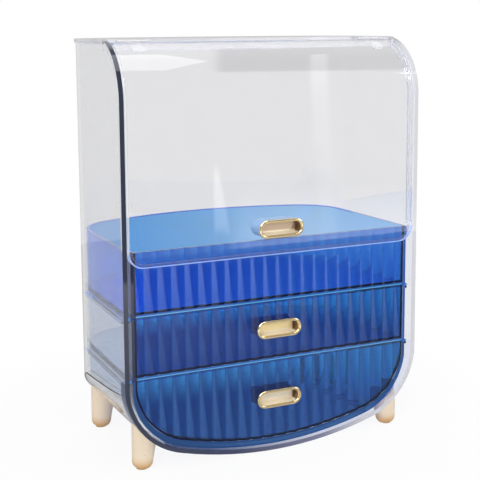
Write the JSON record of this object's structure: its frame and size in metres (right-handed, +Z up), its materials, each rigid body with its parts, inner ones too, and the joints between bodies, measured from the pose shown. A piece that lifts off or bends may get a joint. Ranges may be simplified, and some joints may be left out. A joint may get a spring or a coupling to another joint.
{
  "type": "dustproof makeup organizer",
  "caption": "Clear curved makeup organizer case with a flip-up cover, an open tray, fluted drawers with recessed pulls and splayed legs.",
  "frame": {"origin": "on the floor under the middle of the case's footprint", "axes": "+X to the right seen from the front, +Y from the front to the bowed back, +Z up"},
  "size_m": [0.3004, 0.198, 0.382],
  "materials": {
    "case_clear": "clear moulded plastic, glossy",
    "top_clear": "clear moulded plastic, glossy",
    "shelf_tint": "blue-tinted clear sheet",
    "leg_gold": "satin champagne gold",
    "screw_steel": "plated",
    "pad_rubber": "soft grey",
    "hinge_clear": "clear moulded plastic",
    "pin_steel": "polished",
    "tray_blue": "blue-tinted clear plastic",
    "front_blue": "blue-tinted clear plastic with fluted ribs",
    "cover_clear": "clear moulded plastic, glossy",
    "pull_gold": "polished gold plate",
    "sleeve_grey": "grey moulded plastic",
    "drawer_blue": "blue-tinted clear plastic"
  },
  "bodies": {
    "case": {"case_shell": "case_clear", "top_plate": "top_clear", "upper_shelf": "shelf_tint", "lower_shelf": "shelf_tint", "leg_front_left": "leg_gold", "leg_front_right": "leg_gold", "leg_rear_left": "leg_gold", "leg_rear_right": "leg_gold", "screw_front_left": "screw_steel", "screw_front_right": "screw_steel", "screw_rear_left": "screw_steel", "screw_rear_right": "screw_steel", "pad_front_left": "pad_rubber", "pad_front_right": "pad_rubber", "pad_rear_left": "pad_rubber", "pad_rear_right": "pad_rubber", "hinge_base_left": "hinge_clear", "hinge_base_right": "hinge_clear", "hinge_pin_left": "pin_steel", "hinge_pin_right": "pin_steel", "tray_body": "tray_blue", "tray_front": "front_blue"},
    "cover": {"cover_panel": "cover_clear", "hinge_leaf_left": "hinge_clear", "hinge_leaf_right": "hinge_clear", "cover_pull": "pull_gold", "cover_pull_sleeve": "sleeve_grey"},
    "upper_drawer": {"upper_drawer_body": "drawer_blue", "upper_drawer_front": "front_blue", "upper_pull": "pull_gold", "upper_pull_sleeve": "sleeve_grey"},
    "lower_drawer": {"lower_drawer_body": "drawer_blue", "lower_drawer_front": "front_blue", "lower_pull": "pull_gold", "lower_pull_sleeve": "sleeve_grey"}
  },
  "joints": [
    {"name": "cover_hinge", "type": "hinge", "parent": "case", "child": "cover", "pos_m": [0, -0.05675, 0.3798], "axis": [-1, 0, 0], "range_deg": [0, 100]},
    {"name": "upper_drawer_slide", "type": "slide", "parent": "case", "child": "upper_drawer", "axis": [0, -1, 0], "range_m": [0, 0.14]},
    {"name": "lower_drawer_slide", "type": "slide", "parent": "case", "child": "lower_drawer", "axis": [0, -1, 0], "range_m": [0, 0.14]}
  ]
}
